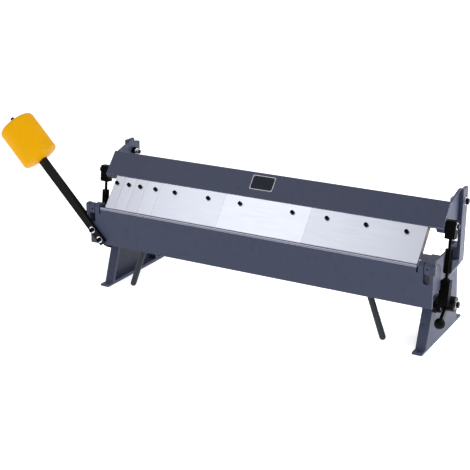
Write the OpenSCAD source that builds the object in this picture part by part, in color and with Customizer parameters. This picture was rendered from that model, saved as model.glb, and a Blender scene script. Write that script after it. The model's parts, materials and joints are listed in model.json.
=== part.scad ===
// Box and pan brake, 1.2 m class, real size in millimetres.
// +X right, +Y to the rear, +Z up. Origin on the floor, in the middle of the four foot holes.
// The bend line, where the finger noses meet the bed and the apron turns, is at y = bend_y.

/* [Bend line and fingers] */
// Height of the bend line above the bench
bend_h = 317; // [310:1:330]
// Slope of the finger faces from the bench
finger_angle = 50; // [46:1:52]
// Slope length of a finger blade
finger_len = 131; // [125:1:140]
// Thickness of a finger blade
finger_t = 8.5; // [6:0.5:9]
// Width of the first finger from the left
finger_1_w = 40; // [36:1:44]
// Width of the second finger
finger_2_w = 50; // [45:1:55]
// Width of the third finger
finger_3_w = 50; // [45:1:55]
// Width of the fourth finger
finger_4_w = 60; // [55:1:65]
// Width of the fifth finger
finger_5_w = 270; // [260:1:275]
// Width of the sixth finger
finger_6_w = 335; // [325:1:340]
// Width of the seventh finger
finger_7_w = 415; // [400:1:420]
// Side gap between two neighbouring fingers
finger_gap = 0.2; // [0.1:0.1:0.8]
// Slope distance of the finger screws from the nose
finger_screw_s = 102; // [100:0.5:106]
// Inset of the outer screws from the edges of a wide finger
screw_inset = 65; // [55:1:70]
// Distance of the first finger's screw from its left edge
finger_1_screw_x = 12; // [10:1:24]
// Distance of the fourth finger's screw from its left edge
finger_4_screw_x = 42; // [24:1:46]
// Radius of the finger screw shanks
screw_r = 4; // [3:0.25:4.5]
// Radius of the finger screw heads
screw_head_r = 7; // [6:0.25:8]
// Height of the finger screw heads
screw_head_h = 8; // [6:0.5:9]
// Corner radius of the hexagon socket in every socket screw
socket_r = 3.5; // [2.5:0.25:4]
// Depth of the hexagon socket in every socket screw
socket_deep = 4; // [3:0.5:5]
// Length of a finger screw under its head
screw_len = 22; // [18:1:25]
// Slope distance from the nose to the block behind each blade
back_block_s = 47; // [44:1:52]
// Slope height of the block behind each blade
back_block_h = 44; // [38:1:45]
// Thickness of the block behind each blade and of the clamp rail
rail_t = 19; // [16:0.5:22]
// Slope distance from the nose to the lower edge of the clamp rail
rail_s = 93; // [92:0.5:95]
// Slope height of the clamp rail
rail_h = 67; // [60:1:75]

/* [Clamping beam] */
// Thickness of the beam's front plate
beam_plate_t = 10; // [9:0.5:12]
// Slope height of the beam's front plate
beam_plate_h = 98; // [92:1:104]
// How far the front plate stands proud of the finger faces
beam_proud = 1.5; // [1:0.25:2.5]
// Gap between the finger tops and the front plate
beam_lap = 0.5; // [0.2:0.1:1]
// Thickness of the beam's end plates
end_plate_t = 10; // [8:0.5:12]
// Distance of the end plate's top corner in front of the beam pivot
end_top_front = 11; // [5:1:20]
// Height of the end plate's top corner above the beam pivot
end_top_over = 44; // [40:1:48]
// Distance of the end plate's rear edge behind the beam pivot
end_rear_out = 41; // [36:1:48]
// Height of the end plate's upper rear corner above the beam pivot
end_rear_over = 32; // [28:1:36]
// Depth of the end plate's lower rear corner below the beam pivot
end_low_under = 76; // [70:1:80]
// Radius of the boss around the link pin, inside the end plate
pin_boss_r = 29; // [24:0.5:30]
// Length of the boss around the link pin, inside the end plate
pin_boss_len = 15; // [10:0.5:18]
// Slope distance from the nose to the stiffener behind the front plate
stiffener_s = 200; // [190:1:205]
// Thickness of the stiffener
stiffener_t = 12; // [10:0.5:14]
// Depth of the stiffener behind the front plate
stiffener_deep = 70; // [60:1:75]
// Width of the bare name plate
name_plate_w = 90; // [70:1:100]
// Slope height of the bare name plate
name_plate_h = 55; // [45:1:60]
// Thickness of the bare name plate
name_plate_t = 1; // [0.5:0.1:1.5]
// Offset of the bare name plate from the middle towards the left
name_plate_left = 16; // [0:1:30]
// Slope distance from the nose to the lower edge of the bare name plate
name_plate_s = 163; // [155:1:168]

/* [Beam pivot] */
// Distance of the beam pivot behind the bend line
pivot_back = 256; // [250:1:262]
// Height of the beam pivot above the bend line
pivot_up = 151; // [148:1:154]
// Radius of the beam pivot bolts and of the lever pivot bolts
pivot_r = 8; // [7:0.25:9]
// Running fit on every turning pin, on the radius
pin_fit = 0.05; // [0.02:0.01:0.1]
// Side play left between turning faces
side_play = 0.3; // [0.3:0.05:0.6]
// Radius of the large washers
washer_r = 13; // [11:0.25:13.5]
// Thickness of all washers
washer_t = 2.5; // [1.5:0.25:3]
// Corner radius of the large hexagon heads and nuts
hex_r = 11; // [9.5:0.25:12]
// Height of the large hexagon heads and nuts
hex_h = 10; // [8:0.5:12]
// Radius of the bush on the inside of the end plate
bush_r = 16; // [13:0.5:18]
// Length of the bush on the inside of the end plate
bush_len = 12; // [10:0.5:20]
// Length of thread standing out of a nut
thread_out = 3; // [1:0.5:5]
// Radius of the lock screw above the beam pivot
lock_screw_r = 4; // [3:0.25:5]
// Depth of the lock screw above the beam pivot
lock_screw_deep = 9; // [6:0.5:10]
// Height of the lock screw above the beam pivot
lock_screw_up = 17; // [15:0.5:20]

/* [Side frames] */
// Gap between the finger noses and the bed bar
nose_gap = 0.3; // [0.3:0.05:0.5]
// Thickness of the side frame's outer wall
frame_web_t = 8; // [7:0.5:10]
// Width of the side frame's flanges
frame_flange_w = 35.5; // [32:0.5:35.5]
// Thickness of the side frame's flanges
frame_flange_t = 10; // [8:0.5:12]
// Thickness of the side frame's base
frame_base_t = 12; // [10:0.5:14]
// Depth of the base over its feet
base_deep = 386; // [380:1:396]
// Thickness of the feet
foot_t = 8; // [6:0.5:10]
// Inset of the foot holes from the ends of the base
foot_inset = 16; // [14:0.5:17]
// Radius of the foot holes
foot_hole_r = 6; // [5:0.25:6.5]
// Distance of the front toe behind the bend line
front_toe = 28; // [26:0.5:32]
// Distance of the upper front corner behind the bend line
front_top = 135; // [130:1:138]
// How far the rear toe stops short of the base's rear end
rear_short = 45; // [40:1:50]
// How far the rear edge leans in above the rear toe
rear_step = 29; // [24:1:34]
// Depth of the bend in the rear edge below the frame top
rear_bend_drop = 101; // [86:1:112]
// Gap between the beam's end plates and the posts
post_gap = 1.3; // [1:0.1:1.6]
// How far the post's inner face stands outside the side frame
post_step = 18.3; // [17:0.1:19]
// Thickness of the post
post_t = 11.7; // [11:0.1:12.5]
// Distance of the post's front face in front of the beam pivot
post_lead = 25; // [23:0.5:27]
// Depth of the post from front to rear
post_deep = 47; // [44:1:52]
// Height of the post above the beam pivot
post_over = 46; // [40:1:50]
// Height of the step from the side frame to the post, above the frame top
post_step_up = 6; // [4:0.5:8]
// Depth of the post's outer face below the frame top
post_low_drop = 48; // [44:1:54]
// Depth of the post's root below the frame top
post_root_drop = 96; // [90:1:102]
// Width of the post's root on the side frame
post_root_w = 3; // [2:0.5:6]
// Depth of the ramp that runs from the side frame out to the post
ramp_deep = 42; // [30:1:50]
// Height of the ledge in front of the post's root
ledge_h = 41; // [36:1:45]
// Width of the ledge in front of the post's root
ledge_w = 25.5; // [24:0.5:27]
// How far the ledge stands in front of the post
ledge_out = 2; // [1.5:0.25:3]

/* [Bed] */
// Thickness of the bed's top and rear walls
bed_t = 12; // [10:0.5:14]
// Depth of the bed below the frame top
bed_deep = 125; // [115:1:130]
// Distance of the bed's front wall behind the bend line
bed_wall_back = 32; // [30:0.5:36]
// Depth of the bed's box below the frame top
bed_box_deep = 100; // [90:1:105]
// Thickness of the ground bed bar
bed_bar_t = 11.7; // [11:0.1:11.7]
// Depth of the ground bed bar
bed_bar_deep = 45; // [40:1:50]
// How far each end of the ground bed bar stops short of the fingers
bed_bar_short = 2; // [1:0.5:4]
// Radius of the bed bolts
bed_bolt_r = 6; // [5:0.25:7]
// Length of the bed bolts under their heads
bed_bolt_len = 20; // [17:0.5:21]
// Depth of the lower bed bolts below the frame top
bed_bolt_low_drop = 100; // [90:1:105]
// Depth of the upper bed bolts below the frame top
bed_bolt_high_drop = 40; // [32:1:50]

/* [Apron] */
// Thickness of the apron plate
apron_t = 10.3; // [9:0.1:10.5]
// Gap between the apron's back and the bend line
apron_gap = 1.2; // [1:0.1:1.5]
// Depth of the apron's lower edge below the bend line
apron_deep = 142; // [137:1:149]
// Height of the bright edge bar
edge_bar_h = 7.5; // [6:0.5:9]
// Gap between the edge bar's top and the bend line
edge_gap = 0.5; // [0.3:0.1:0.8]
// How far the right end of the edge bar reaches past the fingers
edge_bar_over = 2; // [1:0.5:3]
// Width of the relief slot beside the edge bar
relief_w = 6; // [4:0.5:8]
// Width of the middle hinge ear
ear_w = 18; // [16:0.5:22]
// Gap between the middle ear and the hinge block
ear_gap = 3; // [1:0.25:4]
// Width of the hinge block
block_w = 21; // [19:0.1:24]
// Gap between the hinge block and the outer ear
block_gap = 1; // [0.5:0.1:1.5]
// Thickness of the outer ears
ear_t = 15; // [12:0.5:16]
// Radius of the left outer ear
left_ear_r = 13; // [12:0.5:15]
// Corner radius at the top of the outer ears
ear_round = 8; // [5:0.5:10]
// How much farther out the left hinge sits than the right one
left_shift = 12; // [8:0.5:13]
// Depth of the step in the apron's left edge below the bend line
left_step_drop = 74; // [70:1:78]
// Radius of the hinge pins
hinge_pin_r = 6; // [5:0.25:6.5]
// Height of the ears above the bottom of the hinge window
window_deep = 60; // [52:1:62]
// Depth of the relief slot beside the edge bar
relief_deep = 24; // [18:1:28]
// Depth of the apron's end cheeks behind the bend line
cheek_deep = 60; // [55:1:62]
// Thickness of the apron's end cheeks
cheek_t = 10; // [8:0.5:12]
// Depth of the lower edge of the end cheeks below the bend line
cheek_low_drop = 97; // [90:1:101]
// Depth of the upper edge of the end cheeks below the bend line
cheek_top_drop = 8; // [5:1:12]
// Bevel on the upper rear corner of the end cheeks
cheek_bevel = 14; // [8:1:18]
// Depth of the hinge block behind the bend line
block_back = 45; // [42:1:48]
// Height of the hinge block below the bend line
block_down = 25; // [22:0.5:27]
// Radius of the hinge block's set screw
set_screw_r = 3.5; // [3:0.25:4]
// Length of the hinge block's set screw
set_screw_len = 6; // [5:0.25:7]
// Distance of the set screw from the block's inner face
set_screw_in = 10; // [8:0.5:12]
// Height of the set screw below the bend line
set_screw_down = 10; // [9.5:0.25:11]

/* [Apron handles] */
// Distance of each handle from the apron's end, at the lower edge of its socket
handle_inset = 222; // [206:1:240]
// Radius of the handles
handle_r = 11; // [9:0.5:12]
// Length of each handle below its socket
handle_len = 160; // [140:1:175]
// Length of each handle inside its socket
handle_in = 28; // [22:1:32]
// Outward lean of the handles from upright
handle_lean = 20; // [12:1:24]
// Distance of the handles behind the bend line
handle_back = 10; // [9:0.5:11]
// Outer radius of the handle sockets
handle_socket_r = 15; // [14:0.5:16]
// Length of the handle sockets
handle_socket_len = 40; // [35:1:45]

/* [Counterweight] */
// Slope of the counterweight arm from the bench
arm_angle = 46.4; // [42:0.2:50]
// Distance of the arm bolts' middle point from the apron's end
arm_inset = 31; // [29:1:35]
// Height of the arm bolts' middle point above the apron's lower edge
arm_bolt_up = 37; // [35:1:41]
// Distance between the two arm bolts
arm_bolt_gap = 46; // [42:1:48]
// Width of the arm
arm_w = 29; // [26:0.5:32]
// Thickness of the arm
arm_t = 20; // [16:0.5:24]
// Thickness of the arm's tab in front of the apron
arm_tab_t = 11; // [8:0.5:12]
// Gap between the arm's thick part and the apron's left ear
hook_gap = 2; // [1:0.5:4]
// Length of the arm below the bolts' middle point
arm_tail = 42; // [38:1:46]
// Length of the arm from the bolts' middle point to the weight
arm_len = 350; // [330:1:370]
// Radius of the arm bolts
arm_bolt_r = 5; // [4:0.25:6]
// Radius of the arm bolt heads
arm_head_r = 8; // [7:0.25:9]
// Height of the arm bolt heads
arm_head_h = 10; // [8:0.5:11]
// Radius of the arm bolt washers
arm_washer_r = 12.5; // [10:0.25:13]
// Radius of the weight
weight_r = 71; // [60:1:76]
// Length of the weight's full round body
weight_len = 176; // [160:1:190]
// Height of the cone on the weight's near end
weight_cone = 12; // [8:0.5:16]
// Radius of the flat on the weight's near end
weight_neck_r = 24; // [20:0.5:30]
// Depth of the arm's end inside the weight
arm_in = 14; // [10:0.5:18]
// Edge radius of the weight's far end
weight_round = 17; // [10:1:22]
// Radius of the stud that holds the weight
stud_r = 7; // [6:0.25:8]
// Height of the nut on the stud
stud_nut_h = 10; // [8:0.5:12]
// Length of the stud standing out of its nut
stud_out = 12; // [6:1:16]

/* [Links] */
// Distance of the link's upper pin behind the bend line
link_back = 114; // [111:0.5:117]
// Height of the link's upper pin above the bend line
link_up = 107; // [105:0.5:109]
// Gap between the beam's end plates and the link blocks
link_gap = 1.5; // [1:0.1:2]
// Width of the link blocks
link_block_w = 34; // [30:0.5:36]
// Depth of the upper link block
link_block_deep = 28; // [24:0.5:30]
// Length of the upper link block above its pin
link_block_over = 17; // [14:0.5:18]
// Length of the upper link block below its pin
link_block_under = 43; // [38:1:48]
// Radius of the link pins
link_pin_r = 6; // [5:0.25:6.5]
// Play of the lower link pin in its eye, on the radius
link_play = 1; // [0.9:0.1:1.2]
// Radius of the link pin heads
link_head_r = 9; // [8:0.25:10]
// Radius of the link pin washers
link_washer_r = 11; // [10:0.25:12]
// Height of the link pin heads
link_head_h = 6; // [5:0.5:8]
// Radius of the threaded rods
rod_r = 5.5; // [4.5:0.25:6]
// Gap around the threaded rods in their blocks, on the radius
thread_fit = 0.05; // [0.02:0.01:0.1]
// Depth of the rods inside blocks and coupler
rod_in = 16; // [12:1:18]
// Length of upper rod seen between block and coupler
rod_seen = 34; // [28:1:38]
// Length of the coupler
coupler_len = 80; // [70:1:86]
// Corner radius of the coupler
coupler_r = 14.5; // [12:0.25:15.5]
// Thickness of the jam nut
jam_t = 6; // [5:0.25:8]
// Corner radius of the jam nut
jam_r = 11.5; // [10:0.25:12]
// Length of the lower block from its pin to its top
lower_block_len = 98; // [90:1:104]
// Depth of the lower link block
lower_block_deep = 28; // [24:0.5:30]
// Thickness of the tongue that carries the lower pin's eye
tongue_t = 10; // [8:0.5:12]
// Height of the tongue's shoulder above the lower pin
tongue_len = 17; // [16:0.5:22]

/* [Clamping levers] */
// Distance of the lever pivot behind the bend line
lever_back = 123; // [121:0.5:125]
// Depth of the lever pivot below the bend line
lever_drop = 165; // [163:0.5:167]
// Distance of the lower link pin in front of the lever pivot
crank_front = 44; // [42:0.5:46]
// Distance of the lower link pin below the lever pivot
crank_down = 6; // [4:0.5:8]
// Radius of the lever hub
hub_r = 25.5; // [22:0.25:26]
// Length of the lever hub
hub_len = 62; // [58:0.5:66]
// Gap between the side frame and the lever hub
hub_gap = 2; // [1.5:0.25:3]
// Thickness of the hub's pad on the side frame
hub_pad_t = 1.7; // [1:0.1:1.7]
// Gap between the link's tongue and the crank or the lever arm
crank_gap = 1.5; // [1:0.1:2]
// Radius of the crank around the lower link pin
crank_eye_r = 17; // [12:0.5:19]
// Distance of the ball knob in front of the right lever pivot, or behind the left one
ball_front = 68; // [62:1:74]
// Distance of the ball knob below the lever pivot
ball_down = 48; // [42:1:54]
// Radius of the ball knob
ball_r = 19; // [16:0.5:21]
// Depth of the lever's end inside the ball knob
ball_in = 8; // [6:0.5:10]
// Width of the lever arm at the hub
lever_w = 24; // [20:0.5:28]
// Width of the lever arm at the ball knob
lever_tip_w = 17; // [14:0.5:20]
// Thickness of the lever arm
lever_t = 11; // [9:0.5:13]

/* [Hidden] */
// Overrun of every cut
cut = 1;
// Place of the bed bolts across the frame flange, as a share of its width
bolt_share = 0.38;
// Small hexagon heads as a share of the large ones
head_share = 0.8;
$fn = 64;

finger_w = [finger_1_w, finger_2_w, finger_3_w, finger_4_w, finger_5_w, finger_6_w, finger_7_w];
function widths_before(i) = i == 0 ? 0 : widths_before(i - 1) + finger_w[i - 1];
fingers_w = widths_before(7);
function finger_x(i) = widths_before(i) - fingers_w / 2;
function inner_screws(i) =
    finger_w[i] > 6 * screw_inset ? [screw_inset, finger_w[i] / 2, finger_w[i] - screw_inset] :
    [screw_inset, finger_w[i] - screw_inset];
function narrow_screw(i) =
    i == 0 ? [finger_1_screw_x] : i == 3 ? [finger_4_screw_x] : [finger_w[i] / 2];
function finger_screws_x(i) = finger_w[i] > 3 * screw_inset ? inner_screws(i) : narrow_screw(i);

// From the fingers outwards: edge bar, relief slot, ear, hinge block, beam end, post
edge_bar_half = fingers_w / 2 + edge_bar_over;
bed_bar_half = fingers_w / 2 - bed_bar_short;
ear_in = edge_bar_half + relief_w;
ear_mid_out = ear_in + ear_w;
block_in = ear_mid_out + ear_gap;
block_out = block_in + block_w;
ear_out_in = block_out + block_gap;
beam_half = ear_out_in;
apron_half = ear_out_in + cheek_t;
post_in = beam_half + post_gap;
post_out = post_in + post_t;
frame_half = post_in - post_step;

// From the bend line downwards and backwards
frame_h = bend_h - nose_gap - bed_bar_t;
apron_low = bend_h - apron_deep;
cheek_low = bend_h - cheek_low_drop;
cheek_top = bend_h - cheek_top_drop;
lever_h = bend_h - lever_drop;
post_front = pivot_back - post_lead;
post_step_h = frame_h + post_step_up;
post_low_h = frame_h - post_low_drop;
post_root_h = frame_h - post_root_drop;
ledge_low = post_step_h - ledge_h;
rear_toe = base_deep - rear_short;
rear_top = rear_toe - rear_step;
rear_bend_h = frame_h - rear_bend_drop;
bed_bolt_heights = [frame_h - bed_bolt_low_drop, frame_h - bed_bolt_high_drop];

bend_y = -base_deep / 2;
slope_y = cos(finger_angle);
slope_z = sin(finger_angle);
function at_y(s, t) = s * slope_y + t * slope_z;
function at_z(s, t) = bend_h + s * slope_z - t * slope_y;

beam_s = finger_len + beam_lap;
beam_top_s = beam_s + beam_plate_h;
rail_half = fingers_w / 2 + finger_gap;
rail_front = finger_t;
plate_back = beam_plate_t - beam_proud;
end_plate_in = beam_half - end_plate_t;
pivot_h = bend_h + pivot_up;
bush_in = end_plate_in - bush_len;
boss_in = end_plate_in - pin_boss_len;
washer_in = bush_in - side_play - washer_t;
nut_in = washer_in - hex_h;

front_lean = atan((front_top - front_toe) / frame_h);
front_k = 1 / cos(front_lean);
function front_at(z) = front_toe + (front_top - front_toe) * z / frame_h;
function rear_at(z) = rear_top + (rear_toe - rear_top) * (rear_bend_h - z) / rear_bend_h;
flange_in = frame_half - frame_flange_w;
web_in = frame_half - frame_web_t;
foot_y = base_deep / 2 - foot_inset;
foot_x = frame_half - frame_flange_w / 2;

apron_back = -apron_gap;
apron_front = -apron_gap - apron_t;
edge_top = bend_h - edge_gap;
plate_top = edge_top - edge_bar_h;
right_ear_out = ear_out_in + ear_t;
left_ear_out = right_ear_out + left_shift;
left_step_h = bend_h - left_step_drop;
ear_r = -apron_front;
handle_x = apron_half - handle_inset;
arm_bolt_x = apron_half - arm_inset;
arm_bolt_h = apron_low + arm_bolt_up;

link_in = beam_half + link_gap;
link_x = link_in + link_block_w / 2;
link_y = link_back - lever_back + crank_front;
link_z = bend_h + link_up - lever_h + crank_down;
link_len = sqrt(link_y * link_y + link_z * link_z);
link_lean = atan(link_y / link_z);
coupler_top = link_block_under + rod_seen;
coupler_low = coupler_top + coupler_len;
lower_top = link_len - lower_block_len;
pin_out = link_in + link_block_w + side_play;
tongue_out = link_in + tongue_t;
hub_in = frame_half + hub_gap;
hub_out = hub_in + hub_len;
crank_out = link_in - crank_gap;
lever_in = tongue_out + crank_gap;
crank_len = sqrt(crank_front * crank_front + crank_down * crank_down);
crank_lean = atan(crank_down / crank_front);
lever_len = sqrt(ball_front * ball_front + ball_down * ball_down);
lever_lean = atan(ball_down / ball_front);
weight_s = arm_len;
arm_under = arm_tab_t + washer_t;
arm_mid_y = apron_front - arm_tab_t + arm_t / 2;

paint = [0.34, 0.36, 0.45];
steel = [0.78, 0.79, 0.8];
bare = [0.55, 0.5, 0.45];
black = [0.12, 0.12, 0.13];
amber = [0.98, 0.74, 0.05];

module mirrored() {
    mirror([1, 0, 0]) children();
}

module both() {
    children();
    mirrored() children();
}

// Profile of y and z, drawn from the bend line, pushed along x from a to b
module along_x(a, b) {
    translate([a, bend_y, 0]) rotate([90, 0, 90]) linear_extrude(height = b - a) children();
}

// Profile of x and z pushed along y from a to b, measured from the bend line
module along_y(a, b) {
    translate([0, bend_y + b, 0]) rotate([90, 0, 0]) linear_extrude(height = b - a) children();
}

// Box between two corners, y measured from the bend line
module box(a, b) {
    translate([a[0], bend_y + a[1], a[2]]) cube([b[0] - a[0], b[1] - a[1], b[2] - a[2]]);
}

// Box between two corners given as x, depth behind the finger face and slope distance
module slope_box(a, b) {
    on_slope() translate(a) cube([b[0] - a[0], b[1] - a[1], b[2] - a[2]]);
}

module on_slope() {
    translate([0, bend_y, bend_h]) rotate([finger_angle - 90, 0, 0]) children();
}

// Round bar along x from a to b at y and z, y measured from the bend line
module bar(a, b, y, z, r) {
    translate([a, bend_y + y, z]) rotate([0, 90, 0]) cylinder(h = b - a, r = r);
}

// Hexagon along x from a to b at y and z, y measured from the bend line
module hex_bar(a, b, y, z, r) {
    translate([a, bend_y + y, z]) rotate([0, 90, 0]) cylinder(h = b - a, r = r, $fn = 6);
}

module side_outline() {
    polygon([[front_toe, 0], [front_top, frame_h], [rear_top, frame_h],
        [rear_top, rear_bend_h], [rear_toe, 0]]);
}

module side_pocket() {
    low = frame_base_t;
    top = frame_h + cut;
    polygon([[front_at(low) + front_k * frame_flange_t, low],
        [front_at(top) + front_k * frame_flange_t, top],
        [rear_top - frame_flange_t, top], [rear_top - frame_flange_t, rear_bend_h],
        [rear_at(low) - frame_flange_t, low]]);
}

module post_outline() {
    polygon([[frame_half - post_root_w, post_root_h], [frame_half + post_root_w, post_root_h],
        [post_out, post_low_h], [post_out, pivot_h + post_over], [post_in, pivot_h + post_over],
        [post_in, post_step_h], [frame_half - post_root_w, post_step_h]]);
}

// Ramp from the side frame out to the post, under the ledge
module post_ramp() {
    intersection() {
        along_y(post_front - ramp_deep, post_front)
            polygon([[web_in, post_root_h], [frame_half + post_root_w, post_root_h],
                [post_out, post_low_h], [post_out, ledge_low], [web_in, ledge_low]]);
        translate([0, bend_y, 0]) linear_extrude(height = post_step_h)
            polygon([[web_in, post_front - ramp_deep], [frame_half, post_front - ramp_deep],
                [post_out, post_front], [web_in, post_front]]);
    }
}

// At a bed bolt, z pointing rearward and square to the leaning front flange
module at_bed_bolt(z) {
    translate([flange_in + frame_flange_w * bolt_share, bend_y + front_at(z), z])
        rotate([-90 - front_lean, 0, 0]) children();
}

module frame_side() {
    color(paint) difference() {
        union() {
            difference() {
                along_x(flange_in, frame_half) side_outline();
                along_x(flange_in - cut, web_in) side_pocket();
            }
            box([flange_in, 0, 0], [frame_half, base_deep, foot_t]);
            along_y(post_front, post_front + post_deep) post_outline();
            post_ramp();
            box([web_in, post_front - ledge_out, ledge_low],
                [frame_half + ledge_w, post_front + ledge_out, post_step_h]);
            bar(web_in, frame_half + hub_pad_t, lever_back, lever_h, hub_r);
        }
        bar(post_in - cut, post_out + cut, pivot_back, pivot_h, pivot_r);
        bar(post_out - lock_screw_deep, post_out + cut, pivot_back + lock_screw_r * 2,
            pivot_h + lock_screw_up, lock_screw_r);
        bar(web_in - cut, frame_half + hub_pad_t + cut, lever_back, lever_h, pivot_r);
        for (z = bed_bolt_heights)
            at_bed_bolt(z) cylinder(h = 2 * frame_flange_t + cut, r = bed_bolt_r, center = true);
        for (y = [-foot_y, foot_y])
            translate([foot_x, y, -cut]) cylinder(h = foot_t + 2 * cut, r = foot_hole_r);
    }
}

module left_frame() {
    mirrored() frame_side();
}

module right_frame() {
    frame_side();
}

module bed_section() {
    low = frame_h - bed_deep;
    box_low = frame_h - bed_box_deep;
    difference() {
        polygon([[0, frame_h], [front_top, frame_h], [front_at(low), low],
            [front_at(low) - front_k * bed_t, low],
            [front_at(box_low) - front_k * bed_t, box_low], [bed_wall_back, box_low],
            [bed_wall_back, frame_h - bed_t], [0, frame_h - bed_t]]);
        polygon([[bed_wall_back + bed_t, frame_h - bed_t],
            [front_at(frame_h - bed_t) - front_k * bed_t, frame_h - bed_t],
            [front_at(box_low + bed_t) - front_k * bed_t, box_low + bed_t],
            [bed_wall_back + bed_t, box_low + bed_t]]);
    }
}

module bed_end_outline() {
    low = frame_h - bed_deep;
    polygon([[0, frame_h], [front_top, frame_h], [front_at(low), low],
        [front_at(low) - front_k * bed_t, low], [0, frame_h - bed_deep / 2]]);
}

module bed() {
    color(paint) difference() {
        union() {
            along_x(-frame_half, frame_half) bed_section();
            both() along_x(frame_half - bed_t, frame_half) bed_end_outline();
        }
        both() box([block_in, -cut, bend_h - block_down],
            [frame_half + cut, block_back, frame_h + cut]);
        both() for (z = bed_bolt_heights)
            at_bed_bolt(z) cylinder(h = 2 * bed_t + cut, r = bed_bolt_r, center = true);
    }
}

module bed_bar() {
    color(steel) box([-bed_bar_half, 0, frame_h],
        [bed_bar_half, bed_bar_deep, frame_h + bed_bar_t]);
}

module bed_bolts() {
    color(black) both() for (z = bed_bolt_heights) at_bed_bolt(z) {
        translate([0, 0, frame_flange_t - bed_bolt_len]) cylinder(h = bed_bolt_len, r = bed_bolt_r);
        translate([0, 0, frame_flange_t])
            cylinder(h = hex_h * head_share, r = hex_r * head_share, $fn = 6);
    }
}

// Hinge block, standing farther out by the given shift on a foot that reaches back to the bed
module hinge_block(shift) {
    color(paint) difference() {
        union() {
            translate([shift, 0, 0]) {
                box([block_in, apron_front, bend_h - block_down], [block_out, block_back, bend_h]);
                bar(block_in, block_out, 0, bend_h, ear_r);
            }
            box([block_in, ear_r + block_gap, bend_h - block_down], [block_out, block_back, bend_h]);
        }
        bar(block_in + shift - cut, block_out + shift + cut, 0, bend_h, hinge_pin_r);
        at_set_screw(shift) translate([0, 0, -cut]) cylinder(h = set_screw_len + cut, r = set_screw_r);
    }
}

module at_set_screw(shift) {
    translate([block_in + set_screw_in + shift, bend_y + apron_front, bend_h - set_screw_down])
        rotate([-90, 0, 0]) children();
}

module left_hinge_block() {
    mirrored() hinge_block(left_shift);
}

module right_hinge_block() {
    hinge_block(0);
}

module hinge_pins() {
    color(steel) {
        bar(ear_in, right_ear_out, 0, bend_h, hinge_pin_r);
        bar(-left_ear_out, -ear_in - left_shift, 0, bend_h, hinge_pin_r);
    }
}

module set_screw(shift) {
    at_set_screw(shift) difference() {
        cylinder(h = set_screw_len, r = set_screw_r);
        translate([0, 0, -cut]) cylinder(h = socket_deep + cut, r = socket_r / 2, $fn = 6);
    }
}

module hinge_set_screws() {
    color(black) {
        set_screw(0);
        mirrored() set_screw(left_shift);
    }
}

module beam_pivot_bolts() {
    color(black) both() {
        bar(nut_in - thread_out, post_out + washer_t, pivot_back, pivot_h, pivot_r);
        hex_bar(post_out + washer_t, post_out + washer_t + hex_h, pivot_back, pivot_h, hex_r);
    }
}

module washer_ring(a, y, z, r, bore) {
    difference() {
        bar(a, a + washer_t, y, z, r);
        bar(a - cut, a + washer_t + cut, y, z, bore);
    }
}

module beam_pivot_washers() {
    color(steel) both() {
        washer_ring(post_out, pivot_back, pivot_h, washer_r, pivot_r);
        washer_ring(washer_in, pivot_back, pivot_h, washer_r, pivot_r);
    }
}

module beam_pivot_nuts() {
    color(steel) both() difference() {
        hex_bar(nut_in, nut_in + hex_h, pivot_back, pivot_h, hex_r);
        bar(nut_in - cut, nut_in + hex_h + cut, pivot_back, pivot_h, pivot_r);
    }
}

module post_lock_screws() {
    color(black) both() difference() {
        bar(post_out - lock_screw_deep, post_out, pivot_back + lock_screw_r * 2,
            pivot_h + lock_screw_up, lock_screw_r);
        hex_bar(post_out - socket_deep, post_out + cut, pivot_back + lock_screw_r * 2,
            pivot_h + lock_screw_up, socket_r / 2);
    }
}

module lever_pivot_bolts() {
    color(black) both() {
        bar(web_in - hex_h - thread_out, hub_out + side_play + washer_t, lever_back, lever_h, pivot_r);
        hex_bar(hub_out + side_play + washer_t, hub_out + side_play + washer_t + hex_h * head_share,
            lever_back, lever_h, hex_r);
    }
}

module lever_pivot_washers() {
    color(steel) both()
        washer_ring(hub_out + side_play, lever_back, lever_h, washer_r, pivot_r);
}

module lever_pivot_nuts() {
    color(black) both() difference() {
        hex_bar(web_in - hex_h, web_in, lever_back, lever_h, hex_r);
        bar(web_in - hex_h - cut, web_in + cut, lever_back, lever_h, pivot_r);
    }
}

module beam_plate() {
    color(paint) slope_box([-beam_half, -beam_proud, beam_s], [beam_half, plate_back, beam_top_s]);
}

// Round boss at the link pin, cut off where the beam's front plate stands
module pin_boss_outline() {
    difference() {
        translate([link_back, bend_h + link_up]) circle(r = pin_boss_r);
        polygon([for (p = [[beam_s, plate_back], [beam_top_s, plate_back],
            [beam_top_s, -pin_boss_r], [beam_s, -pin_boss_r]]) [at_y(p[0], p[1]), at_z(p[0], p[1])]]);
    }
}

module beam_end() {
    color(paint) difference() {
        union() {
            along_x(end_plate_in, beam_half)
                polygon([[at_y(beam_s, plate_back), at_z(beam_s, plate_back)],
                    [at_y(beam_top_s, plate_back), at_z(beam_top_s, plate_back)],
                    [pivot_back - end_top_front, pivot_h + end_top_over],
                    [pivot_back + end_rear_out, pivot_h + end_rear_over],
                    [pivot_back + end_rear_out, pivot_h - end_low_under]]);
            along_x(boss_in, beam_half) pin_boss_outline();
        }
        bar(end_plate_in - cut, beam_half + cut, pivot_back, pivot_h, pivot_r + pin_fit);
        bar(boss_in - cut, beam_half + cut, link_back, bend_h + link_up, link_pin_r);
    }
}

module left_beam_end() {
    mirrored() beam_end();
}

module right_beam_end() {
    beam_end();
}

module beam_stiffener() {
    color(paint) slope_box([-end_plate_in, plate_back, stiffener_s],
        [end_plate_in, plate_back + stiffener_deep, stiffener_s + stiffener_t]);
}

module at_finger_screws() {
    for (i = [0 : 6]) for (x = finger_screws_x(i))
        on_slope() translate([finger_x(i) + x, 0, finger_screw_s]) rotate([-90, 0, 0]) children();
}

module clamp_rail() {
    color(bare) difference() {
        slope_box([-rail_half, rail_front, rail_s], [rail_half, rail_front + rail_t, rail_s + rail_h]);
        at_finger_screws() cylinder(h = screw_len, r = screw_r);
    }
}

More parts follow.
